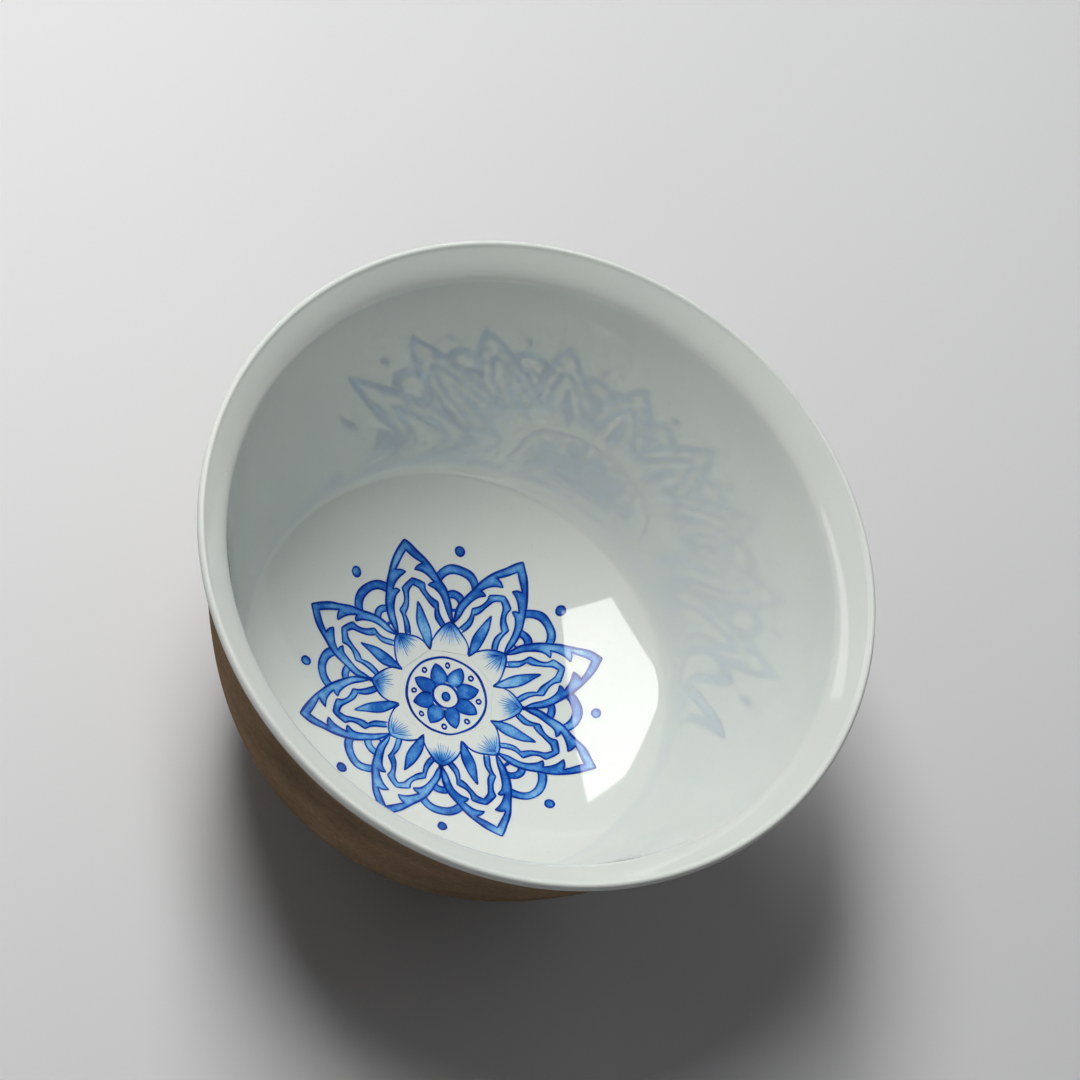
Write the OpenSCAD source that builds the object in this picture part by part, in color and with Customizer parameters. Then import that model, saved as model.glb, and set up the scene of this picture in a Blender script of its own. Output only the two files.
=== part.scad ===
// Porcelain teacup with a flared lip, a brown-glazed outside and a cobalt lotus
// medallion painted on its dished floor.  Millimetres, +Z up, and the origin is
// the centre of the face that the foot ring stands on.

/* [Cup] */
// Radius of the rim at its widest
rim_radius = 45; // [43:0.5:50]
// Height from the resting face to the crest of the lip
cup_height = 53; // [46:0.5:60]
// Height of the lowest point of the inside floor
floor_height = 7.8; // [6.5:0.1:10]
// Radius of the sphere that the floor is dished to
dish_radius = 66.5; // [55:0.5:100]
// Radius at which the floor turns up into the wall
dish_edge = 29; // [25:0.5:30]
// Thickness of the glaze coats
glaze = 0.3; // [0.1:0.05:0.35]

/* [Lip] */
// Radius of the inside where the lip starts to flare
lip_start_radius = 40.5; // [38:0.1:42.5]
// How far below the crest the flare starts on the inside
lip_drop = 3.8; // [2.5:0.1:6]
// How far below the crest the flare starts on the outside
lip_drop_outside = 6.1; // [4:0.1:9]

/* [Foot] */
// Outer radius of the foot ring at its resting face
foot_radius = 20.8; // [20:0.1:21.5]
// Outer radius of the foot ring where it joins the body
foot_top_radius = 21.6; // [20.8:0.1:24]
// Inner radius of the foot ring
foot_bore_radius = 17.4; // [12:0.1:18]
// Height of the foot ring
foot_height = 5; // [3.5:0.1:7]
// Height of the bare clay left at the bottom of the foot ring
bare_foot = 1; // [0.5:0.1:2]

/* [Painting] */
// Number of leaves round the medallion
petals = 8; // [6:1:10]
// Radius from the medallion's centre to the tip of a leaf
leaf_tip = 22.2; // [21.4:0.1:24]
// Turn of the medallion about the cup's axis
painting_turn = 6.5; // [0:0.5:45]
// Place of the medallion's centre on the floor, a little off the axis
painting_shift = [0.7, -0.5]; // [-2:0.1:2]
// Thickness of the cobalt layer
cobalt = 0.06; // [0.03:0.01:0.12]
// Width of a drawn line
line = 0.3; // [0.2:0.01:0.34]
// Width of the hair lines in the lotus petals
hair = 0.1; // [0.05:0.01:0.2]

/* [Hidden] */
$fn = 96;
half_turn = 180 / petals;

// ---- curves -------------------------------------------------------------
function bezier(a, b, c, d, n) = [for (i = [1:n]) let (t = i / n, s = 1 - t)
    s * s * s * a + 3 * s * s * t * b + 3 * s * t * t * c + t * t * t * d];
function reversed(p) = [for (i = [len(p) - 1:-1:0]) p[i]];
function slice(p, a, b) = [for (i = [a:b]) p[i]];
function left_of(v) = [-v[1], v[0]] / norm(v);
function heading(p, i) = p[min(i + 1, len(p) - 1)] - p[max(i - 1, 0)];
function beside(p, d) = [for (i = [0:len(p) - 1]) p[i] + d * left_of(heading(p, i))];
function mirrored(p) = [for (q = p) [-q[0], q[1]]];
// A smooth curve through the points of p, n steps from one to the next
function through(p, n = 3) = concat([p[0]], [for (i = [0:len(p) - 2], k = [1:n])
    let (t = k / n, a = p[max(i - 1, 0)], b = p[i], c = p[i + 1], d = p[min(i + 2, len(p) - 1)])
    (2 * b + t * (c - a) + t * t * (2 * a - 5 * b + 4 * c - d)
        + t * t * t * (3 * b - a - 3 * c + d)) / 2]);

// ---- the wall, from the middle of the floor over the lip to the foot -----
function dish_height(r) = floor_height + dish_radius - sqrt(dish_radius * dish_radius - r * r);
dish_steps = 24;
wall_steps = 24;
lip_steps = 8;
crest_steps = 4;
belly_steps = 10;
fillet_steps = 5;
lip_start = [lip_start_radius, cup_height - lip_drop];
lip_inner = [rim_radius - 1.1, cup_height - 0.45];
lip_top = [rim_radius - 0.5, cup_height];
lip_outer = [rim_radius, cup_height - 0.7];
lip_back = [rim_radius - 2.1, cup_height - lip_drop_outside];
dish_rim = [dish_edge, dish_height(dish_edge)];
belly = [rim_radius * 0.7, cup_height * 0.26];
waist = [foot_top_radius + 1.4, foot_height + 2];
foot_joint = [foot_top_radius, foot_height];

floor_curve = [for (i = [0:dish_steps]) let (r = dish_edge * i / dish_steps) [r, dish_height(r)]];
inner_wall = bezier(dish_rim, dish_rim + [2.6, 1.26], lip_start - [5, 16.5], lip_start, wall_steps);
inner_lip = bezier(lip_start, lip_start + [0.35, 1.16], lip_inner - [1.3, 1], lip_inner, lip_steps);
crest_in = bezier(lip_inner, lip_inner + [0.25, 0.19], lip_top - [0.25, 0], lip_top, crest_steps);
crest_out = bezier(lip_top, lip_top + [0.3, 0], lip_outer + [0, 0.4], lip_outer, crest_steps);
outer_lip = bezier(lip_outer, lip_outer - [0, 0.8], lip_back + [0.55, 2], lip_back, lip_steps);
outer_wall = bezier(lip_back, lip_back - [3.5, 11.5], belly + [4.9, 7.5], belly, wall_steps);
under_belly = bezier(belly, belly - [2.2, 3.3], waist + [3.9, 1], waist, belly_steps);
foot_fillet = bezier(waist, waist - [1, 0.25], foot_joint + [0.1, 1], foot_joint, fillet_steps);

surface = concat(floor_curve, inner_wall, inner_lip, crest_in, crest_out, outer_lip,
    outer_wall, under_belly, foot_fillet);
// The clay under the glaze: the same curve one glaze thickness inside the wall
clay = [for (i = [0:len(surface) - 1]) i == 0 ? surface[0] - [0, glaze]
    : i == len(surface) - 1 ? surface[i] - [glaze, 0]
    : surface[i] - glaze * left_of(heading(surface, i))];
last = len(surface) - 1;
lip_from = dish_steps + wall_steps + lip_steps;
lip_to = lip_from + 2 * crest_steps + 1;

module coat(a, b) {
    rotate_extrude() polygon(concat(slice(surface, a, b), reversed(slice(clay, a, b))));
}

// ---- drawing on the floor -------------------------------------------------
dish_centre = floor_height + dish_radius;
film_top = dish_height(dish_edge) + 1;

module on_floor() {
    intersection() {
        translate([0, 0, dish_centre]) difference() {
            sphere(dish_radius, $fn = 240);
            sphere(dish_radius - cobalt, $fn = 240);
        }
        translate([painting_shift[0], painting_shift[1], floor_height - 1])
            rotate(painting_turn - 90) linear_extrude(film_top - floor_height) children();
    }
}
module stroke(p, w = line) polygon(concat(beside(p, w / 2), reversed(beside(p, -w / 2))));
module twice(p, w = line) {
    stroke(p, w);
    stroke(mirrored(p), w);
}
module round_medallion() for (k = [0:petals - 1]) rotate(k * 360 / petals) children();
module between_leaves() round_medallion() rotate(half_turn) children();
module ring(r, w = line) difference() {
    circle(r + w / 2);
    circle(r - w / 2);
}

// One leaf, with its tip up: half outlines, mirrored to make the other side
leaf_edge = through([[0, leaf_tip], [1.2, 21], [2.5, 19.2], [3.6, 17], [4.35, 14.8], [4.65, 12.6],
    [4.45, 11.2], [4.13, 10.02]]);
band_top = through([[0, 20.8], [0.95, 19.8], [2.1, 18.55]]);
hook_1 = through([[2.1, 18.55], [1.35, 18.4], [0.7, 18]], 2);
band_middle = through([[0.7, 18], [1.7, 17.5], [2.5, 16.8], [3.1, 15.95]]);
hook_2 = through([[3.1, 15.95], [2.6, 15.95], [2.1, 15.7]], 2);
band_foot = through([[2.1, 15.7], [2.9, 15.1], [3.45, 14], [3.75, 12.6], [3.8, 11.2], [3.97, 10.08]]);
ribbon_outer = [through([[0, 17], [0.9, 16.5], [1.75, 15.95]]),
    through([[1.75, 15.95], [1.6, 15.1], [1.95, 14.1], [2.9, 13.05]]),
    through([[2.9, 13.05], [2.65, 12.2], [2.65, 11.2], [2.98, 9.76]])];
ribbon_inner = [through([[0, 16.15], [0.75, 15.5], [1.1, 14.6], [1.6, 13.3], [2.25, 12.45]]),
    through([[2.25, 12.45], [1.98, 11.3], [2.1, 10.3], [2.38, 9.46]])];
spear_edge = through([[0, 6.95], [0.5, 8.2], [0.76, 9.8], [0.62, 11.6], [0, 13.7]]);
lotus_edge = through([[2.68, 6.47], [2.6, 7.58], [2.02, 8.8], [0.98, 10.1], [0, 10.75]]);
heart_edge = through([[0.74, 1.9], [1.1, 2.85], [0.74, 4], [0, 4.85]]);
lotus_tip = through([[1.55, 9.47], [0.98, 10.1], [0, 10.75]], 2);
tip_shade = through([[1.55, 9.47], [0.8, 9.3], [0, 9.2]], 2);
// Where the two lines of a leaf's edge run together against the tip of a lotus petal
knot_at = leaf_edge[len(leaf_edge) - 1];
knot_r = line / 2 + 0.1;
eye = [1.75, 1.95];
eye_ring = 0.3;
pupil_r = 0.57;
heart_circle_r = 5.6;
bead_at = 4.55;
bead_r = 0.3;
dot_at = 20.4;
dot_r = 0.6;
arch_at = [15, 13.2];
arch_outer = [3.5, 1.8];
arch_inner = [2.45, 0.9];
hairs = 5;
hair_spread = 0.42;
hair_levels = [10, 9, 8];
arch_from = 12.3;
circle_line = line * 1.1;
bead_line = line * 0.7;
// The brown glaze on the foot ring starts here, over the bare clay
foot_glaze_start = [foot_radius - glaze + 0.1, bare_foot];

function both_sides(p) = concat(p, reversed(mirrored(p)));
band_inside = concat(band_top, hook_1, band_middle, hook_2, band_foot);
ribbon_inside = concat(ribbon_inner[0], ribbon_inner[1]);
ribbon_outside = concat(ribbon_outer[0], ribbon_outer[1], ribbon_outer[2]);

module leaf_shape() polygon(both_sides(leaf_edge));
module leaf_drawing() {
    twice(leaf_edge);
    for (p = [band_top, hook_1, band_middle, hook_2, band_foot]) twice(p);
    for (side = [-1, 1]) translate([side * knot_at[0], knot_at[1]]) circle(knot_r);
}
module band_shape() for (side = [0, 1]) mirror([side, 0])
    polygon(concat(leaf_edge, reversed(band_inside)));
module ribbon_drawing() for (p = concat(ribbon_outer, ribbon_inner)) twice(p);
module ribbon_shape() for (side = [0, 1]) mirror([side, 0])
    polygon(concat(ribbon_outside, reversed(ribbon_inside)));
module lotus_drawing() {
    twice(lotus_edge);
    for (i = [0:hairs - 1]) let (a = (i - (hairs - 1) / 2) * hair_spread)
        stroke([for (j = [0:2]) [a * (j + 1) / 2, hair_levels[j]]], hair);
}
module arches() for (i = [0, 1]) translate([0, arch_at[i]]) difference() {
    circle(arch_outer[i]);
    circle(arch_inner[i]);
}
module arch_drawing() for (i = [0, 1]) translate([0, arch_at[i]]) {
    ring(arch_outer[i]);
    ring(arch_inner[i]);
}
// Keeps what is drawn between the leaves off them
module outside_leaves() difference() {
    children();
    for (side = [-1, 1]) rotate(side * half_turn) leaf_shape();
    translate([-arch_from, 0]) square([2 * arch_from, arch_from]);
}

// ---- sub-parts --------------------------------------------------------------
clay_tone = [0.93, 0.92, 0.88];
white_tone = [0.9, 0.93, 0.91];
brown_tone = [0.3, 0.22, 0.15];
line_tone = [0.04, 0.13, 0.45];
wash_tone = [0.3, 0.5, 0.78];

module body() {
    color(clay_tone) rotate_extrude()
        polygon(concat([[0, foot_height]], clay));
}
module foot_ring() {
    color(clay_tone) rotate_extrude() polygon([[foot_bore_radius, foot_height],
        [foot_bore_radius, 0.6], [foot_bore_radius + 0.5, 0], [foot_radius - 0.8, 0],
        [foot_radius - 0.3, 0.5], foot_glaze_start,
        [foot_top_radius - glaze, foot_height]]);
}
module foot_glaze() {
    color(brown_tone) rotate_extrude() polygon([foot_glaze_start,
        [foot_radius + 0.1, bare_foot + 0.3], [foot_top_radius, foot_height],
        [foot_top_radius - glaze, foot_height]]);
}
module base_glaze() {
    color(white_tone) translate([0, 0, foot_height - glaze])
        cylinder(r = foot_bore_radius, h = glaze);
}
module inner_glaze() {
    color(white_tone) coat(0, lip_from);
}
module lip_glaze() {
    color(white_tone) coat(lip_from, lip_to);
}
module outer_glaze() {
    color(brown_tone) coat(lip_to, last);
}
module eye_wash() {
    color(wash_tone) on_floor() circle(pupil_r - line / 2);
}
module eye_lines() {
    color(line_tone) on_floor() {
        ring(pupil_r);
        difference() {
            scale([eye[0] / eye[1], 1]) circle(eye[1]);
            scale([eye[0] / eye[1], 1]) circle(eye[1] - eye_ring);
        }
    }
}
module heart_wash() {
    color(wash_tone) on_floor() round_medallion() difference() {
        polygon(both_sides(heart_edge));
        twice(heart_edge);
        circle(eye[1]);
    }
}
module heart_lines() {
    color(line_tone) on_floor() difference() {
        round_medallion() twice(heart_edge);
        circle(eye[1]);
    }
}
module heart_circle() {
    color(line_tone) on_floor() ring(heart_circle_r, circle_line);
}
module bead_lines() {
    color(line_tone) on_floor() between_leaves() translate([0, bead_at]) ring(bead_r, bead_line);
}
module lotus_wash() {
    color(wash_tone) on_floor() between_leaves() difference() {
        for (side = [0, 1]) mirror([side, 0]) polygon(concat(lotus_tip, reversed(tip_shade)));
        lotus_drawing();
    }
}
module lotus_lines() {
    color(line_tone) on_floor() between_leaves() lotus_drawing();
}
module leaf_wash() {
    color(wash_tone) on_floor() round_medallion() difference() {
        band_shape();
        leaf_drawing();
    }
}
module leaf_lines() {
    color(line_tone) on_floor() round_medallion() leaf_drawing();
}
module ribbon_wash() {
    color(wash_tone) on_floor() round_medallion() difference() {
        ribbon_shape();
        ribbon_drawing();
    }
}
module ribbon_lines() {
    color(line_tone) on_floor() round_medallion() ribbon_drawing();
}
module spear_wash() {
    color(wash_tone) on_floor() round_medallion() difference() {
        polygon(both_sides(spear_edge));
        twice(spear_edge);
    }
}
module spear_lines() {
    color(line_tone) on_floor() round_medallion() twice(spear_edge);
}
module arch_wash() {
    color(wash_tone) on_floor() between_leaves() outside_leaves() difference() {
        arches();
        arch_drawing();
    }
}
module arch_lines() {
    color(line_tone) on_floor() between_leaves() outside_leaves() arch_drawing();
}
module dot_wash() {
    color(wash_tone) on_floor() between_leaves() translate([0, dot_at]) circle(dot_r - line / 2);
}
module dot_lines() {
    color(line_tone) on_floor() between_leaves() translate([0, dot_at]) ring(dot_r);
}

body();
foot_ring();
foot_glaze();
base_glaze();
inner_glaze();
lip_glaze();
outer_glaze();
eye_wash();
eye_lines();
heart_wash();
heart_lines();
heart_circle();
bead_lines();
lotus_wash();
lotus_lines();
leaf_wash();
leaf_lines();
ribbon_wash();
ribbon_lines();
spear_wash();
spear_lines();
arch_wash();
arch_lines();
dot_wash();
dot_lines();
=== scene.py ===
import math

import bmesh
import bpy
import numpy as np
from mathutils import Matrix, Vector
from mathutils.geometry import delaunay_2d_cdt


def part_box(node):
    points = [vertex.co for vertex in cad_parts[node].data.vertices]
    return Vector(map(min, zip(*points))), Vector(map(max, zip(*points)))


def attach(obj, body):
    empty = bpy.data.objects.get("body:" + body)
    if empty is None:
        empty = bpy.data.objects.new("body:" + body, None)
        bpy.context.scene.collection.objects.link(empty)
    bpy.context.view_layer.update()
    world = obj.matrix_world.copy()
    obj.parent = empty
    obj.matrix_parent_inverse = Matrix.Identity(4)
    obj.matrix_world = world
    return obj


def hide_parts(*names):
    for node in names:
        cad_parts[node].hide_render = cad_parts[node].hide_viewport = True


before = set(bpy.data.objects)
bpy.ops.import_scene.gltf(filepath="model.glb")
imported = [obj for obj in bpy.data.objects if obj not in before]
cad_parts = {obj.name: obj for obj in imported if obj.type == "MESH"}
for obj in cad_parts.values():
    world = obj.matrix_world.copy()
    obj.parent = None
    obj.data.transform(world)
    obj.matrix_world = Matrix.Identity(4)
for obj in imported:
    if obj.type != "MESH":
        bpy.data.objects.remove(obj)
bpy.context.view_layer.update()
MM = 0.001

# ---- sizes, in millimetres, read from the frame where a node's box gives them ------------
GLAZE = 0.3
LIP_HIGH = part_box("lip_glaze")[1]
RIM_R = LIP_HIGH[0] / MM
HEIGHT = LIP_HIGH[2] / MM
FLOOR_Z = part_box("inner_glaze")[0][2] / MM + GLAZE
FOOT_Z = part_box("foot_ring")[1][2] / MM
DISH_R, DISH_EDGE = 66.5, 29.0
LIP_START_R, LIP_DROP, LIP_DROP_OUT = 40.5, 3.8, 6.1
FOOT_R, FOOT_TOP_R, BORE_R, BARE = 20.8, 21.6, 17.4, 1.0
PETALS, LEAF_TIP = 8, 22.2
PAINT_TURN, PAINT_SHIFT = 6.5, np.array([0.7, -0.5])  # degrees, and millimetres
COBALT, LINE, HAIR = 0.06, 0.3, 0.1
STEP = 0.14  # between the points of a drawn curve
SINK = 0.05  # how far the films reach down into the glaze
TURNS = 288  # faces round a turned piece
SMOOTH_BELOW = math.radians(33)  # faces that meet at less than this are shaded as one
rng = np.random.default_rng(874)


def vec(*v):
    return np.array(v, float)


def bezier(a, b, c, d, n):
    t = np.arange(1, n + 1)[:, None] / n
    s = 1 - t
    return s**3 * a + 3 * s * s * t * b + 3 * s * t * t * c + t**3 * d


def dish(r):
    return FLOOR_Z + DISH_R - np.sqrt(DISH_R**2 - np.asarray(r, float) ** 2)


# ---- the wall's outline, from the middle of the floor over the lip to the foot -----------
lip_start = vec(LIP_START_R, HEIGHT - LIP_DROP)
lip_inner = vec(RIM_R - 1.1, HEIGHT - 0.45)
lip_top = vec(RIM_R - 0.5, HEIGHT)
lip_outer = vec(RIM_R, HEIGHT - 0.7)
lip_back = vec(RIM_R - 2.1, HEIGHT - LIP_DROP_OUT)
dish_rim = vec(DISH_EDGE, dish(DISH_EDGE))
belly = vec(RIM_R * 0.7, HEIGHT * 0.26)
waist = vec(FOOT_TOP_R + 1.4, FOOT_Z + 2)
foot_joint = vec(FOOT_TOP_R, FOOT_Z)
floor_r = np.linspace(0, DISH_EDGE, 56)
parts = [
    np.stack([floor_r, dish(floor_r)], 1),
    bezier(dish_rim, dish_rim + vec(2.6, 1.26), lip_start - vec(5, 16.5), lip_start, 72),
    bezier(lip_start, lip_start + vec(0.35, 1.16), lip_inner - vec(1.3, 1), lip_inner, 16),
    bezier(lip_inner, lip_inner + vec(0.25, 0.19), lip_top - vec(0.25, 0), lip_top, 6),
    bezier(lip_top, lip_top + vec(0.3, 0), lip_outer + vec(0, 0.4), lip_outer, 8),
    bezier(lip_outer, lip_outer - vec(0, 0.8), lip_back + vec(0.55, 2), lip_back, 16),
    bezier(lip_back, lip_back - vec(3.5, 11.5), belly + vec(4.9, 7.5), belly, 56),
    bezier(belly, belly - vec(2.2, 3.3), waist + vec(3.9, 1), waist, 24),
    bezier(waist, waist - vec(1, 0.25), foot_joint + vec(0.1, 1), foot_joint, 10),
]
surface = np.concatenate(parts)
heading = np.gradient(surface, axis=0)
side = np.stack([-heading[:, 1], heading[:, 0]], 1)
side /= np.linalg.norm(side, axis=1)[:, None]
clay = surface - GLAZE * side
clay[0] = surface[0] - vec(0, GLAZE)
clay[-1] = surface[-1] - vec(GLAZE, 0)
counts = np.cumsum([len(p) for p in parts])
lip_from, crest, lip_to = counts[2] - 1, counts[3] - 1, counts[4] + 1


# ---- materials ---------------------------------------------------------------------------
def material(name):
    m = bpy.data.materials.new(name)
    m.use_nodes = True
    tree = m.node_tree
    return m, tree, tree.nodes["Principled BSDF"]


def node(tree, kind, **values):
    n = tree.nodes.new(kind)
    for key, value in values.items():
        if key in n.inputs:
            n.inputs[key].default_value = value
        else:
            setattr(n, key, value)
    return n


def noise(tree, scale, detail=4.0, rough=0.5):
    """Noise in object space; scale is in cycles per metre."""
    coords = node(tree, "ShaderNodeTexCoord")
    n = node(tree, "ShaderNodeTexNoise", Scale=scale, Detail=detail, Roughness=rough)
    tree.links.new(coords.outputs["Object"], n.inputs["Vector"])
    return n.outputs["Fac"]


def ramp(tree, factor, stops):
    r = node(tree, "ShaderNodeValToRGB")
    elements = r.color_ramp.elements
    for i, (at, colour) in enumerate(stops):
        e = elements[i] if i < 2 else elements.new(at)
        e.position, e.color = at, (*colour, 1)
    tree.links.new(factor, r.inputs["Fac"])
    return r.outputs["Color"]


def mix(tree, factor, a, b, blend="MIX"):
    m = node(tree, "ShaderNodeMix", data_type="RGBA", blend_type=blend)
    for value, socket in ((factor, 0), (a, 6), (b, 7)):
        if isinstance(value, bpy.types.NodeSocket):
            tree.links.new(value, m.inputs[socket])
        else:
            m.inputs[socket].default_value = value if socket == 0 else (*value, 1)
    return m.outputs[2]


def math_node(tree, operation, *values):
    m = node(tree, "ShaderNodeMath", operation=operation, use_clamp=operation != "SUBTRACT")
    for i, value in enumerate(values):
        if isinstance(value, bpy.types.NodeSocket):
            tree.links.new(value, m.inputs[i])
        else:
            m.inputs[i].default_value = value
    return m.outputs[0]


def spread(tree, factor, low, high, start=0.3, end=0.7):
    """Maps start..end to low..high; noise lies mostly between 0.3 and 0.7."""
    r = node(tree, "ShaderNodeMapRange")
    r.inputs["To Min"].default_value, r.inputs["To Max"].default_value = low, high
    r.inputs["From Min"].default_value, r.inputs["From Max"].default_value = start, end
    tree.links.new(factor, r.inputs["Value"])
    return r.outputs["Result"]


def bump(tree, shader, *layers):
    """Layers are (noise, height in metres), from coarse to fine."""
    last = None
    for height, distance in layers:
        b = node(tree, "ShaderNodeBump", Strength=1.0, Distance=distance)
        tree.links.new(height, b.inputs["Height"])
        if last:
            tree.links.new(last, b.inputs["Normal"])
        last = b.outputs["Normal"]
    tree.links.new(last, shader.inputs["Normal"])


WHITE = (0.74, 0.775, 0.735)
WHITE_COOL = (0.70, 0.745, 0.715)


def glazed(tree, shader, ior=2.0):
    """The gloss that every glazed surface shares."""
    tree.links.new(spread(tree, noise(tree, 260, 3), 0.022, 0.05), shader.inputs["Roughness"])
    shader.inputs["IOR"].default_value = ior
    bump(tree, shader, (noise(tree, 45, 1), 0.000007), (noise(tree, 500, 2), 0.0000012))


def white_colour(tree):
    cloud = ramp(tree, noise(tree, 40, 4), [(0.35, WHITE_COOL), (0.65, WHITE)])
    specks = ramp(tree, noise(tree, 2600, 1, 0.3), [(0.74, (1, 1, 1)), (0.8, (0.86, 0.85, 0.8))])
    return mix(tree, 0.6, cloud, specks, "MULTIPLY")


def make_white(name):
    m, tree, shader = material(name)
    tree.links.new(white_colour(tree), shader.inputs["Base Color"])
    glazed(tree, shader)
    return m


def make_brown(name):
    """Brown glaze that thins to the white one where the attribute "fade" falls to 0."""
    m, tree, shader = material(name)
    pools = ramp(tree, noise(tree, 55, 5, 0.6), [
        (0.3, (0.160, 0.112, 0.072)), (0.5, (0.235, 0.163, 0.102)), (0.72, (0.310, 0.212, 0.130))])
    grain = ramp(tree, noise(tree, 1500, 3), [(0.35, (0.72, 0.72, 0.72)), (0.65, (1, 1, 1))])
    dark = mix(tree, 0.7, pools, grain, "MULTIPLY")
    fade = node(tree, "ShaderNodeAttribute", attribute_name="fade").outputs["Fac"]
    edge = ramp(tree, fade, [(0.0, (0, 0, 0)), (0.32, (0.16, 0.16, 0.16)),
                             (0.62, (0.66, 0.66, 0.66)), (1.0, (1, 1, 1))])
    tree.links.new(mix(tree, edge, white_colour(tree), dark), shader.inputs["Base Color"])
    glazed(tree, shader, 1.6)
    # Seen along the wall the dark glaze keeps its depth and doesn't mirror the pale floor
    facing = node(tree, "ShaderNodeLayerWeight", Blend=0.5).outputs["Facing"]
    tree.links.new(spread(tree, facing, 0.5, 0.0, 0.45, 0.8), shader.inputs["Specular IOR Level"])
    return m


def make_clay(name):
    m, tree, shader = material(name)
    colour = ramp(tree, noise(tree, 900, 5, 0.6),
                  [(0.3, (0.56, 0.52, 0.45)), (0.5, (0.68, 0.65, 0.58)), (0.7, (0.75, 0.72, 0.66))])
    tree.links.new(colour, shader.inputs["Base Color"])
    tree.links.new(spread(tree, noise(tree, 1200, 3), 0.62, 0.85), shader.inputs["Roughness"])
    bump(tree, shader, (noise(tree, 700, 4), 0.00004), (noise(tree, 4000, 3), 0.00002))
    return m


def make_cobalt(name, stops):
    """Cobalt under the glaze: the attribute "tone" is how much colour the brush left."""
    m, tree, shader = material(name)
    tone = node(tree, "ShaderNodeAttribute", attribute_name="tone").outputs["Fac"]
    pools = math_node(tree, "MULTIPLY", tone, spread(tree, noise(tree, 240, 2), 0.45, 1.55))
    water = math_node(tree, "MULTIPLY", pools, spread(tree, noise(tree, 900, 4, 0.6), 0.78, 1.22))
    grain = math_node(tree, "ADD", water, spread(tree, noise(tree, 3800, 2), -0.05, 0.05))
    blue = ramp(tree, grain, stops)
    faint = math_node(tree, "MULTIPLY", tone, 5.0)
    tree.links.new(mix(tree, faint, white_colour(tree), blue), shader.inputs["Base Color"])
    glazed(tree, shader)
    return m


white = make_white("white_glaze")
brown = make_brown("brown_glaze")
bare = make_clay("porcelain_clay")
ink = make_cobalt("cobalt_line", [
    (0.0, (0.05, 0.25, 0.66)), (0.45, (0.0, 0.06, 0.42)), (1.0, (0.0, 0.02, 0.26))])
wash = make_cobalt("cobalt_wash", [
    (0.0, WHITE), (0.2, (0.22, 0.49, 0.78)), (0.36, (0.075, 0.28, 0.66)),
    (0.55, (0.014, 0.125, 0.50)), (1.0, (0.0, 0.04, 0.32))])


# ---- turned pieces -----------------------------------------------------------------------
def finish_piece(name, bm, mat, slot, *nodes):
    mesh = bpy.data.meshes.new(name)
    bm.to_mesh(mesh)
    bm.free()
    mesh.materials.append(mat)
    obj = bpy.data.objects.new(name, mesh)
    bpy.context.collection.objects.link(obj)
    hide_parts(*nodes)
    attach(obj, "root")


def lathe(name, outline, fade, mat, slot, *nodes):
    """Turns a closed outline of (radius, height) round the cup's axis."""
    bm = bmesh.new()
    layer = bm.verts.layers.float.new("fade")
    rings = []
    for (r, z), f in zip(outline, fade):
        if r < 1e-9:
            ring = [bm.verts.new((0, 0, z * MM))]
        else:
            ring = [bm.verts.new((r * math.cos(a) * MM, r * math.sin(a) * MM, z * MM))
                    for a in np.arange(TURNS) * (2 * math.pi / TURNS)]
        for v in ring:
            v[layer] = f
        rings.append(ring)
    for i, a in enumerate(rings):
        b = rings[(i + 1) % len(rings)]
        if len(a) == 1 and len(b) == 1:
            continue
        for k in range(TURNS):
            j = (k + 1) % TURNS
            if len(a) == 1:
                bm.faces.new((a[0], b[k], b[j]))
            elif len(b) == 1:
                bm.faces.new((a[k], b[0], a[j]))
            else:
                bm.faces.new((a[k], b[k], b[j], a[j]))
    bmesh.ops.recalc_face_normals(bm, faces=bm.faces)
    for e in bm.edges:
        e.smooth = len(e.link_faces) < 2 or e.calc_face_angle(0) < SMOOTH_BELOW
    for f in bm.faces:
        f.smooth = True
    finish_piece(name, bm, mat, slot, *nodes)


def plain(outline):
    return [0.0] * len(outline)


def coat(a, b):
    return np.concatenate([surface[a:b + 1], clay[a:b + 1][::-1]])


body_outline = np.concatenate([clay, [vec(0, FOOT_Z)]])
lathe("body", body_outline, plain(body_outline), bare, "porcelain_clay", "body")
inner = coat(0, lip_from)
lathe("inner_glaze", inner, plain(inner), white, "white_glaze", "inner_glaze")
# The brown glaze thins to nothing over the lip: "fade" is how much of it there is
fade_at = np.interp(np.arange(len(surface)),
                    [lip_from, crest, counts[4] - 1, counts[4] + 6], [0, 0.02, 0.2, 1.0])
lip = coat(lip_from, lip_to)
lip_fade = np.concatenate([fade_at[lip_from:lip_to + 1], fade_at[lip_from:lip_to + 1][::-1]])
lathe("lip_glaze", lip, lip_fade, brown, "white_glaze", "lip_glaze")
outer = coat(lip_to, len(surface) - 1)
outer_fade = np.concatenate([fade_at[lip_to:], fade_at[lip_to:][::-1]])
lathe("outer_glaze", outer, outer_fade, brown, "brown_glaze", "outer_glaze")

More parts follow.
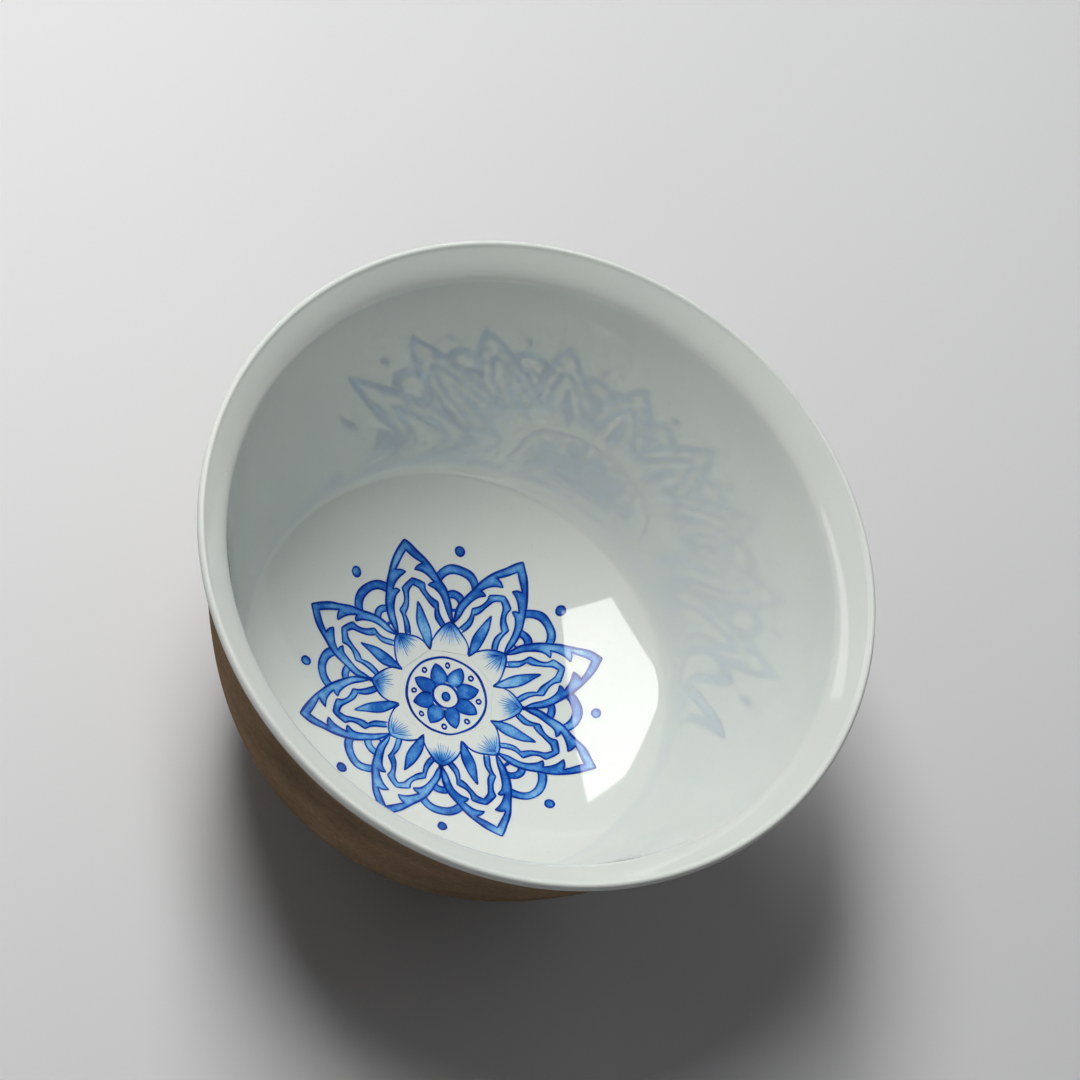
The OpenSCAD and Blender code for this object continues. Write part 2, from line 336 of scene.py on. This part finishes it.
quarter = np.linspace(0, math.pi / 2, 7)
foot = [(BORE_R, FOOT_Z), (BORE_R, 0.6)]
foot += [(BORE_R + 0.5 - 0.5 * math.cos(a), 0.6 - 0.6 * math.sin(a)) for a in quarter[1:]]
foot += [(FOOT_R - 0.8 + 0.5 * math.sin(a), 0.5 - 0.5 * math.cos(a)) for a in quarter]
foot += [(FOOT_R - GLAZE + 0.1, BARE), (FOOT_TOP_R - GLAZE, FOOT_Z)]
lathe("foot_ring", foot, plain(foot), bare, "porcelain_clay", "foot_ring")
roll = [(FOOT_R - GLAZE + 0.1, BARE), (FOOT_R - 0.05, BARE + 0.05),
        (FOOT_R + 0.06, BARE + 0.16), (FOOT_R + 0.1, BARE + 0.3)]
climb = np.linspace(0, 1, 9)[1:, None]
roll += [tuple(p) for p in roll[-1] + climb * (foot_joint - vec(*roll[-1]))]
roll += [(FOOT_TOP_R - GLAZE, FOOT_Z)]
lathe("foot_glaze", roll, [1.0] * len(roll), brown, "brown_glaze", "foot_glaze")
base = [(0, FOOT_Z), (BORE_R, FOOT_Z), (BORE_R, FOOT_Z - GLAZE)]
base += [(r, FOOT_Z - GLAZE) for r in np.linspace(BORE_R, 0, 12)[1:]]
lathe("base_glaze", base, plain(base), white, "white_glaze", "base_glaze")


# ---- the medallion -----------------------------------------------------------------------
def through(points, step=STEP):
    """A smooth curve through the points, with a point every step or so."""
    p = np.array(points, float)
    out = [p[0]]
    for i in range(len(p) - 1):
        a, b, c, d = p[max(i - 1, 0)], p[i], p[i + 1], p[min(i + 2, len(p) - 1)]
        n = max(2, math.ceil(np.linalg.norm(c - b) / step))
        for t in np.arange(1, n + 1) / n:
            out.append((2 * b + t * (c - a) + t * t * (2 * a - 5 * b + 4 * c - d)
                        + t**3 * (3 * b - a - 3 * c + d)) / 2)
    return np.array(out)


def mirrored(p):
    return p * vec(-1, 1)


def both_sides(p):
    return np.concatenate([p, mirrored(p)[::-1]])


def circle(r, n=None, centre=(0, 0), squash=1.0):
    n = n or max(16, int(2 * math.pi * r / 0.16))
    a = np.arange(n) * (2 * math.pi / n)
    return np.stack([r * squash * np.cos(a), r * np.sin(a)], 1) + vec(*centre)


def within(loop, points):
    """Which points lie inside the closed loop."""
    x, y = points[:, 0][:, None], points[:, 1][:, None]
    a, b = loop, np.roll(loop, -1, 0)
    crosses = (a[:, 1] > y) != (b[:, 1] > y)
    rise = np.where(b[:, 1] == a[:, 1], 1e-12, b[:, 1] - a[:, 1])
    at = a[:, 0] + (y - a[:, 1]) * (b[:, 0] - a[:, 0]) / rise
    return ((crosses & (x < at)).sum(1) % 2).astype(bool)


def gap_to(lines, points):
    """How far each point is from the nearest of the polylines' points."""
    far = np.full(len(points), 1e9)
    for p in lines:
        for i in range(0, len(points), 2000):
            block = points[i:i + 2000]
            d = np.linalg.norm(block[:, None] - p[None], axis=2).min(1)
            far[i:i + 2000] = np.minimum(far[i:i + 2000], d)
    return far


sway = rng.normal(0, 1, (2 * PETALS, 3))


def by_hand(p):
    """The slow wander of the painter's hand, the same for all that is drawn in one place."""
    x, y = p[:, 0], p[:, 1]
    return p + 0.06 * np.stack([
        np.sin(0.9 * x + 1.3 * y + 0.4) + 0.6 * np.sin(1.7 * y - 0.8 * x),
        np.sin(1.1 * y - 0.7 * x + 2.0) + 0.6 * np.sin(1.5 * x + 0.5 * y + 1.0)], 1)


def turned(p, k, half=0):
    """Leaf k's place round the medallion, or the place after leaf k, before it is laid down."""
    lean, long, wide = sway[2 * k + half] * vec(0.5, 0.006, 0.008)
    a = math.radians(k * 360 / PETALS + half * 180 / PETALS + lean)
    q = p * vec(1 + wide, 1 + long)
    return np.stack([q[:, 0] * math.cos(a) - q[:, 1] * math.sin(a),
                     q[:, 0] * math.sin(a) + q[:, 1] * math.cos(a)], 1)


def normals(p, closed):
    """The unit normals of the polyline p at its points."""
    way = (np.roll(p, -1, 0) - np.roll(p, 1, 0)) if closed else np.gradient(p, axis=0)
    way /= np.maximum(np.linalg.norm(way, axis=1), 1e-9)[:, None]
    return np.stack([-way[:, 1], way[:, 0]], 1)


def strip(n, columns, closed):
    """The quads that join n rows of points, each of so many columns."""
    faces = []
    for i in range(n if closed else n - 1):
        a, b = columns * i, columns * ((i + 1) % n)
        faces += [(a + c + 1, a + c, b + c, b + c + 1) for c in range(columns - 1)]
    return faces


class Film:
    """Flat strokes and fills, gathered and then laid on the dish as one mesh of closed films."""

    def __init__(self):
        self.points, self.faces, self.tones, self.levels, self.count = [], [], [], [], 0

    def add(self, points, faces, tones, level=1.0):
        self.points.append(points)
        self.tones.append(tones)
        self.levels.append(np.full(len(points), level))
        self.faces += [tuple(i + self.count for i in f) for f in faces]
        self.count += len(points)

    def stroke(self, p, width=LINE, tone=(0.8, 0.8), closed=False, ends=0.45):
        """A brush line along p; its width and tone wander a little."""
        n = len(p)
        s = np.arange(n) * STEP
        f1, f2, f3 = rng.uniform(0, 6.28, 3)
        if closed:
            u = np.arange(n) * (2 * math.pi / n)
            press = 0.5 * np.sin(2 * u + f1) + 0.3 * np.sin(5 * u + f2)
        else:
            press = 0.5 * np.sin(0.9 * s + f1) + 0.3 * np.sin(2.3 * s + f2)
        w = width / 2 * (1 + 0.22 * press)
        t = np.linspace(tone[0], tone[1], n) + 0.16 * press + 0.05 * np.sin(5 * s + f3)
        if closed:
            t = t - np.linspace(0, tone[1] - tone[0], n)
        else:
            reach = np.minimum(np.arange(n), np.arange(n)[::-1]) * STEP
            w = w * (ends + (1 - ends) * np.clip(reach / 0.5, 0, 1))
        across = normals(p, closed)
        shares = ((-1, 0.72), (-0.35, 1), (0.35, 1), (1, 0.72))
        points = np.stack([p + across * w[:, None] * at for at, _ in shares], 1).reshape(-1, 2)
        tones = np.stack([t * share for _, share in shares], 1).reshape(-1)
        self.add(points, strip(n, len(shares), closed), np.clip(tones, 0.02, 1))

    def bleed(self, p, closed=False, width=0.85, tone=0.075):
        """The faint colour that a line has let out into the glaze on both sides of it."""
        across = normals(p, closed)
        shares = ((-1, 0), (-0.55, 0.55), (0, 1), (0.55, 0.55), (1, 0))
        points = np.stack([p + across * (width / 2 * at) for at, _ in shares], 1).reshape(-1, 2)
        tones = np.tile([tone * share for _, share in shares], len(p))
        self.add(points, strip(len(p), len(shares), closed), tones, 0.4)

    def fill(self, loops, holds, tone, step=0.42):
        """Fills between the loops wherever holds(points) is true; tone(points) is its colour."""
        low, high = np.min([l.min(0) for l in loops], 0), np.max([l.max(0) for l in loops], 0)
        gx, gy = np.meshgrid(np.arange(low[0], high[0], step),
                             np.arange(low[1], high[1], step * 0.87))
        gx[1::2] += step / 2
        grid = np.stack([gx.ravel(), gy.ravel()], 1)
        grid = grid[holds(grid)]
        grid = grid[gap_to(loops, grid) > 0.12]
        points, edges = [], []
        for loop in loops:
            keep = [loop[0]]
            for q in loop[1:]:
                if np.linalg.norm(q - keep[-1]) > 0.02:
                    keep.append(q)
            if np.linalg.norm(keep[-1] - keep[0]) < 0.02:
                keep.pop()
            start = len(points)
            points += keep
            edges += [(start + i, start + (i + 1) % len(keep)) for i in range(len(keep))]
        points = np.array(points + list(grid))
        made = delaunay_2d_cdt([Vector(q) for q in points], edges, [], 0, 1e-5)
        flat = np.array([tuple(v) for v in made[0]])
        tris = np.array([f for f in made[2] if len(f) == 3])
        tris = tris[holds(flat[tris].mean(1))]
        used = np.unique(tris)
        index = -np.ones(len(flat), int)
        index[used] = np.arange(len(used))
        flat, tris = flat[used], index[tris]
        e1, e2 = flat[tris[:, 1]] - flat[tris[:, 0]], flat[tris[:, 2]] - flat[tris[:, 0]]
        area = e1[:, 0] * e2[:, 1] - e1[:, 1] * e2[:, 0]
        tris[area < 0] = tris[area < 0][:, ::-1]
        self.add(flat, [tuple(t) for t in tris[np.abs(area) > 1e-7]], np.clip(tone(flat), 0, 1))

    def lay(self, name, thickness, mat, slot):
        """Lays the drawing on the dish, closed all round, sunk a little into the glaze."""
        flat = by_hand(np.concatenate(self.points))
        a = math.radians(PAINT_TURN - 90)
        turn = np.array([[math.cos(a), math.sin(a)], [-math.sin(a), math.cos(a)]])
        flat = flat @ turn + PAINT_SHIFT
        r2 = (flat**2).sum(1)
        centre, n = FLOOR_Z + DISH_R, len(flat)
        top = centre - np.sqrt((DISH_R - thickness * np.concatenate(self.levels)) ** 2 - r2)
        under = centre - np.sqrt((DISH_R + SINK) ** 2 - r2)
        verts = np.concatenate([np.column_stack([flat, top]), np.column_stack([flat, under])]) * MM
        edges = set()
        for f in self.faces:
            edges.update(zip(f, f[1:] + f[:1]))
        faces = list(self.faces) + [tuple(i + n for i in reversed(f)) for f in self.faces]
        faces += [(b, a, a + n, b + n) for a, b in edges if (b, a) not in edges]
        bm = bmesh.new()
        layer = bm.verts.layers.float.new("tone")
        made = [bm.verts.new(v) for v in verts]
        tones = np.concatenate(self.tones)
        for i, v in enumerate(made):
            v[layer] = tones[i % n]
        for f in faces:
            bm.faces.new([made[i] for i in f]).smooth = True
        bm.normal_update()
        for e in bm.edges:
            e.smooth = len(e.link_faces) == 2 and e.calc_face_angle(0) < SMOOTH_BELOW
        finish_piece(name, bm, mat, slot, name)


leaf_edge = through([[0, LEAF_TIP], [1.2, 21], [2.5, 19.2], [3.6, 17], [4.35, 14.8], [4.65, 12.6],
                     [4.45, 11.2], [4.13, 10.02]])
band_bits = [through(p) for p in (
    [[0, 20.8], [0.95, 19.8], [2.1, 18.55]],
    [[2.1, 18.55], [1.35, 18.4], [0.7, 18]],
    [[0.7, 18], [1.7, 17.5], [2.5, 16.8], [3.1, 15.95]],
    [[3.1, 15.95], [2.6, 15.95], [2.1, 15.7]],
    [[2.1, 15.7], [2.9, 15.1], [3.45, 14], [3.75, 12.6], [3.8, 11.2], [3.97, 10.08]])]
ribbon_outer = [through(p) for p in (
    [[0, 17], [0.9, 16.5], [1.75, 15.95]],
    [[1.75, 15.95], [1.6, 15.1], [1.95, 14.1], [2.9, 13.05]],
    [[2.9, 13.05], [2.65, 12.2], [2.65, 11.2], [2.98, 9.76]])]
ribbon_inner = [through(p) for p in (
    [[0, 16.15], [0.75, 15.5], [1.1, 14.6], [1.6, 13.3], [2.25, 12.45]],
    [[2.25, 12.45], [1.98, 11.3], [2.1, 10.3], [2.38, 9.46]])]
spear_edge = through([[0, 6.95], [0.5, 8.2], [0.76, 9.8], [0.62, 11.6], [0, 13.7]])
LOTUS_TIP = 10.75
lotus_edge = through([[2.68, 6.47], [2.6, 7.58], [2.02, 8.8], [0.98, 10.1], [0, LOTUS_TIP]])
heart_edge = through([[0.74, 1.9], [1.1, 2.85], [0.74, 4], [0, 4.85]])
EYE_R, EYE_SQUASH = 1.95, 1.75 / 1.95
CIRCLE_R, BEAD_AT, DOT_AT = 5.6, 4.55, 20.4
BEAD_R, DOT_R, PUPIL_R, PUPIL_RING_R = 0.3, 0.6, 0.5, 0.57
EYE_RING_R, EYE_RING_LINE = EYE_R - 0.08, 0.34
HAIRS = 11
# The knot where the edge line and the band line of a leaf run together at its foot
KNOT_R = LINE / 2 + 0.1
# Each arch's centre and its outer and inner radius; no arch is drawn nearer the middle than this
ARCHES = ((15, 3.5, 2.45), (13.2, 1.8, 0.9))
ARCH_FROM = 12.3
leaf_loop = both_sides(leaf_edge)
core_loop = both_sides(np.concatenate(band_bits + [leaf_edge[-1:]]))
ribbon_out = both_sides(np.concatenate(ribbon_outer))
ribbon_in = both_sides(np.concatenate(ribbon_inner + [ribbon_outer[-1][-1:]]))


def edge_shade(loops, low, high, reach):
    """Colour that gathers at the drawn lines, as a wash does when it dries."""
    return lambda p: low + (high - low) * np.exp(-gap_to(loops, p) / reach)


leaf_lines, leaf_wash = Film(), Film()
ribbon_lines, ribbon_wash = Film(), Film()
spear_lines, spear_wash = Film(), Film()
heart_lines, heart_wash = Film(), Film()
lotus_lines, lotus_wash = Film(), Film()
arch_lines, arch_wash = Film(), Film()
dot_lines, dot_wash = Film(), Film()
eye_lines, eye_wash = Film(), Film()
bead_lines, heart_circle = Film(), Film()

for k in range(PETALS):
    for flip in (lambda p: p, mirrored):
        leaf_lines.stroke(turned(flip(leaf_edge), k), LINE, (0.95, 0.95), ends=0.8)
        knot = turned(flip(circle(KNOT_R, 20, leaf_edge[-1])), k)
        leaf_lines.fill([knot], lambda p: within(knot, p), lambda p: np.full(len(p), 0.95), 0.15)
        for film, bits in ((leaf_wash, [leaf_edge] + band_bits),
                           (ribbon_wash, ribbon_outer + ribbon_inner),
                           (spear_wash, [spear_edge]), (heart_wash, [heart_edge])):
            for bit in bits:
                film.bleed(turned(flip(bit), k))
        for bit in band_bits:
            leaf_lines.stroke(turned(flip(bit), k), LINE * 0.85, (0.75, 0.85), ends=0.7)
        for bit in ribbon_outer + ribbon_inner:
            ribbon_lines.stroke(turned(flip(bit), k), LINE * 0.85, (0.8, 0.75), ends=0.7)
        spear_lines.stroke(turned(flip(spear_edge), k), LINE * 0.8, (0.75, 0.7), ends=0.6)
        heart_lines.stroke(turned(flip(heart_edge), k), LINE * 0.8, (0.75, 0.85), ends=0.6)
        lotus_lines.stroke(turned(flip(lotus_edge), k, 1), LINE * 0.78, (0.6, 0.95), ends=0.7)
    outline, core = turned(leaf_loop, k), turned(core_loop, k)
    leaf_wash.fill([outline, core], lambda p: within(outline, p) & ~within(core, p),
                   edge_shade([outline, core], 0.3, 0.56, 0.3))
    out_loop, in_loop = turned(ribbon_out, k), turned(ribbon_in, k)
    ribbon_wash.fill([out_loop, in_loop], lambda p: within(out_loop, p) & ~within(in_loop, p),
                     edge_shade([out_loop, in_loop], 0.34, 0.5, 0.2), 0.3)
    spear = turned(both_sides(spear_edge), k)
    spear_wash.fill([spear], lambda p: within(spear, p), edge_shade([spear], 0.38, 0.56, 0.25), 0.3)
    heart = turned(both_sides(heart_edge), k)
    heart_wash.fill([heart], lambda p: within(heart, p), edge_shade([heart], 0.52, 0.74, 0.3), 0.3)

    # Between the leaves: a lotus petal, two arches, a bead and a dot
    petal = turned(both_sides(lotus_edge), k, 1)
    tip = turned(vec(0, LOTUS_TIP)[None], k, 1)[0]
    lotus_wash.fill([petal], lambda p: within(petal, p),
                    lambda p: 0.62 * np.clip(1 - np.linalg.norm(p - tip, axis=1) / 3.9, 0, 1) ** 1.6
                    + 0.12 * np.exp(-gap_to([petal], p) / 0.25)
                    * np.clip((np.linalg.norm(p, axis=1) - 6.9) / 0.9, 0, 1), 0.25)
    for i in range(HAIRS):
        lean = (i - HAIRS // 2) / (HAIRS // 2)
        root = vec(lean * 0.25, 10.35 - abs(lean) * 0.35)
        end = vec(lean * 1.8, 7.5 + 0.6 * abs(lean) + rng.uniform(-0.45, 0.45))
        hair = through([root, (root + end) / 2 + vec(lean * 0.12, 0.05), end])
        lotus_lines.stroke(turned(hair, k, 1), HAIR * 0.8, (0.5, 0.12), ends=0.3)
    bead = turned(circle(BEAD_R, 22, (0, BEAD_AT)), k, 1)
    bead_lines.stroke(bead, LINE * 0.9, (0.85, 0.85), closed=True)
    near = [turned(leaf_loop, j % PETALS) for j in (k, k + 1)]

    def clear(p):
        free = ~within(near[0], p) & ~within(near[1], p)
        return free & (np.linalg.norm(p, axis=1) > ARCH_FROM)

    for at, outer_r, inner_r in ARCHES:
        rings = [turned(circle(r, None, (0, at)), k, 1) for r in (outer_r, inner_r)]
        for ring in rings:
            shown = clear(ring)
            first = int(np.argmin(shown))
            run = []
            for q, ok in zip(np.roll(ring, -first, 0), np.roll(shown, -first)):
                if ok:
                    run.append(q)
                if run and not ok:
                    if len(run) > 3:
                        arch_wash.bleed(np.array(run))
                        arch_lines.stroke(np.array(run), LINE * 0.85, (0.75, 0.75), ends=0.8)
                    run = []
            if len(run) > 3:
                arch_lines.stroke(np.array(run), LINE * 0.85, (0.75, 0.75), ends=0.8)
        arch_wash.fill(rings + near,
                       lambda p: within(rings[0], p) & ~within(rings[1], p) & clear(p),
                       edge_shade(rings, 0.34, 0.56, 0.28), 0.3)
    dot = turned(circle(DOT_R, 28, (0, DOT_AT)), k, 1)
    dot_lines.stroke(dot, LINE * 0.85, (0.85, 0.85), closed=True)
    dot_wash.bleed(dot, closed=True)
    dot_wash.fill([dot], lambda p: within(dot, p), edge_shade([dot], 0.42, 0.7, 0.2), 0.25)

heart_circle.stroke(circle(CIRCLE_R), LINE * 1.1, (0.8, 0.8), closed=True)
eye_ring = circle(EYE_RING_R, squash=EYE_SQUASH)
eye_lines.stroke(eye_ring, EYE_RING_LINE, (0.8, 0.8), closed=True)
eye_lines.stroke(circle(PUPIL_RING_R), LINE * 0.8, (0.85, 0.85), closed=True)
pupil = circle(PUPIL_R, 24)
eye_wash.fill([pupil], lambda p: within(pupil, p), edge_shade([pupil], 0.55, 0.8, 0.2), 0.2)

for name, film in (
        ("leaf_wash", leaf_wash), ("ribbon_wash", ribbon_wash), ("spear_wash", spear_wash),
        ("heart_wash", heart_wash), ("lotus_wash", lotus_wash), ("arch_wash", arch_wash),
        ("dot_wash", dot_wash), ("eye_wash", eye_wash)):
    film.lay(name, COBALT * 0.7, wash, "cobalt_wash")
for name, film in (
        ("leaf_lines", leaf_lines), ("ribbon_lines", ribbon_lines), ("spear_lines", spear_lines),
        ("heart_lines", heart_lines), ("lotus_lines", lotus_lines), ("arch_lines", arch_lines),
        ("dot_lines", dot_lines), ("eye_lines", eye_lines), ("bead_lines", bead_lines),
        ("heart_circle", heart_circle)):
    film.lay(name, COBALT, ink, "cobalt_line")


# ---- floor, light and camera --------------------------------------------------------------
floor_mesh = bpy.data.meshes.new("floor")
FLOOR_HALF = 3
floor_mesh.from_pydata([(x * FLOOR_HALF, y * FLOOR_HALF, 0) for x, y in
                        ((-1, -1), (1, -1), (1, 1), (-1, 1))], [], [(0, 1, 2, 3)])
floor = bpy.data.objects.new("floor", floor_mesh)
bpy.context.collection.objects.link(floor)
paper, tree, shader = material("paper")
shader.inputs["Roughness"].default_value = 0.6
paper_colour = ramp(tree, noise(tree, 6, 3), [(0.3, (0.70, 0.71, 0.72)), (0.7, (0.73, 0.74, 0.75))])
tree.links.new(paper_colour, shader.inputs["Base Color"])
floor_mesh.materials.append(paper)

world = bpy.data.worlds.new("studio")
world.use_nodes = True
world.node_tree.nodes["Background"].inputs["Color"].default_value = (0.93, 0.97, 1.0, 1)
world.node_tree.nodes["Background"].inputs["Strength"].default_value = 0.06
bpy.context.scene.world = world
bpy.context.scene.view_settings.view_transform = "Standard"


# The key light is a five-sided softbox lying flat above the cup's side; its corners are in
# units of its height over the cup's floor. It is made twice: one is seen only in the gloss,
# the other only lights, so that the highlight and the light can be set apart
KEY_HEIGHT, CUP_FLOOR = 0.55, 0.01
KEY_GLOSS, KEY_LIGHT = 2.9, 15.2
panel_corners = [(-0.17, -0.02), (-0.30, -0.17), (-0.73, 0.05), (-0.88, 0.60), (-0.84, 0.88)]
panel_mesh = bpy.data.meshes.new("softbox")
panel_mesh.from_pydata(
    [(x * KEY_HEIGHT, y * KEY_HEIGHT, KEY_HEIGHT + CUP_FLOOR) for x, y in panel_corners], [],
    [tuple(range(len(panel_corners)))])
for name, strength in (("softbox_gloss", KEY_GLOSS), ("softbox_light", KEY_LIGHT)):
    panel = bpy.data.objects.new(name, panel_mesh.copy())
    bpy.context.collection.objects.link(panel)
    glow = bpy.data.materials.new(name)
    glow.use_nodes = True
    tree = glow.node_tree
    tree.nodes.remove(tree.nodes["Principled BSDF"])
    emission = node(tree, "ShaderNodeEmission", Color=(1, 0.99, 0.975, 1), Strength=strength)
    tree.links.new(emission.outputs[0], tree.nodes["Material Output"].inputs["Surface"])
    panel.data.materials.append(glow)
    panel.visible_camera = panel.visible_shadow = False
    panel.visible_diffuse = name == "softbox_light"
    panel.visible_glossy = name == "softbox_gloss"


CUP_MIDDLE = Vector((0, 0, 0.03))


def softbox(name, azimuth, elevation, distance, wide, high, power):
    """A soft light aimed at the cup; azimuth runs from -Y towards +X."""
    az, el = math.radians(azimuth), math.radians(elevation)
    away = Vector((math.sin(az) * math.cos(el), -math.cos(az) * math.cos(el), math.sin(el)))
    light = bpy.data.lights.new(name, "AREA")
    light.shape, light.size, light.size_y, light.energy = "RECTANGLE", wide, high, power
    lamp = bpy.data.objects.new(name, light)
    lamp.matrix_world = Matrix.Translation(CUP_MIDDLE + away * distance) @ (
        away.to_track_quat("Z", "Y").to_matrix().to_4x4())
    bpy.context.collection.objects.link(lamp)


softbox("low_side", -84, 20, 0.7, 0.62, 0.2, 0.35)
softbox("back", 170, 22, 0.9, 0.9, 0.25, 1.0)

# The camera's place, aim, lens and roll, from the fit to the photo's rim, outline and medallion
CAMERA_ROLL = math.radians(36.384)
camera = bpy.data.cameras.new("camera")
camera.lens, camera.sensor_width = 142.386, 36
camera.clip_start, camera.clip_end = 0.01, 20
view = bpy.data.objects.new("camera", camera)
stand, aim = Vector((0, -277.053, 516.51)) * MM, Vector((-1.57, 1.09, 53.0)) * MM
back = (stand - aim).normalized()
level = Vector((0, 0, 1)).cross(back).normalized()
right = level * math.cos(CAMERA_ROLL) + back.cross(level) * math.sin(CAMERA_ROLL)
up = back.cross(right)
view.matrix_world = Matrix((right, up, back)).transposed().to_4x4()
view.matrix_world.translation = stand
bpy.context.collection.objects.link(view)
bpy.context.scene.camera = view
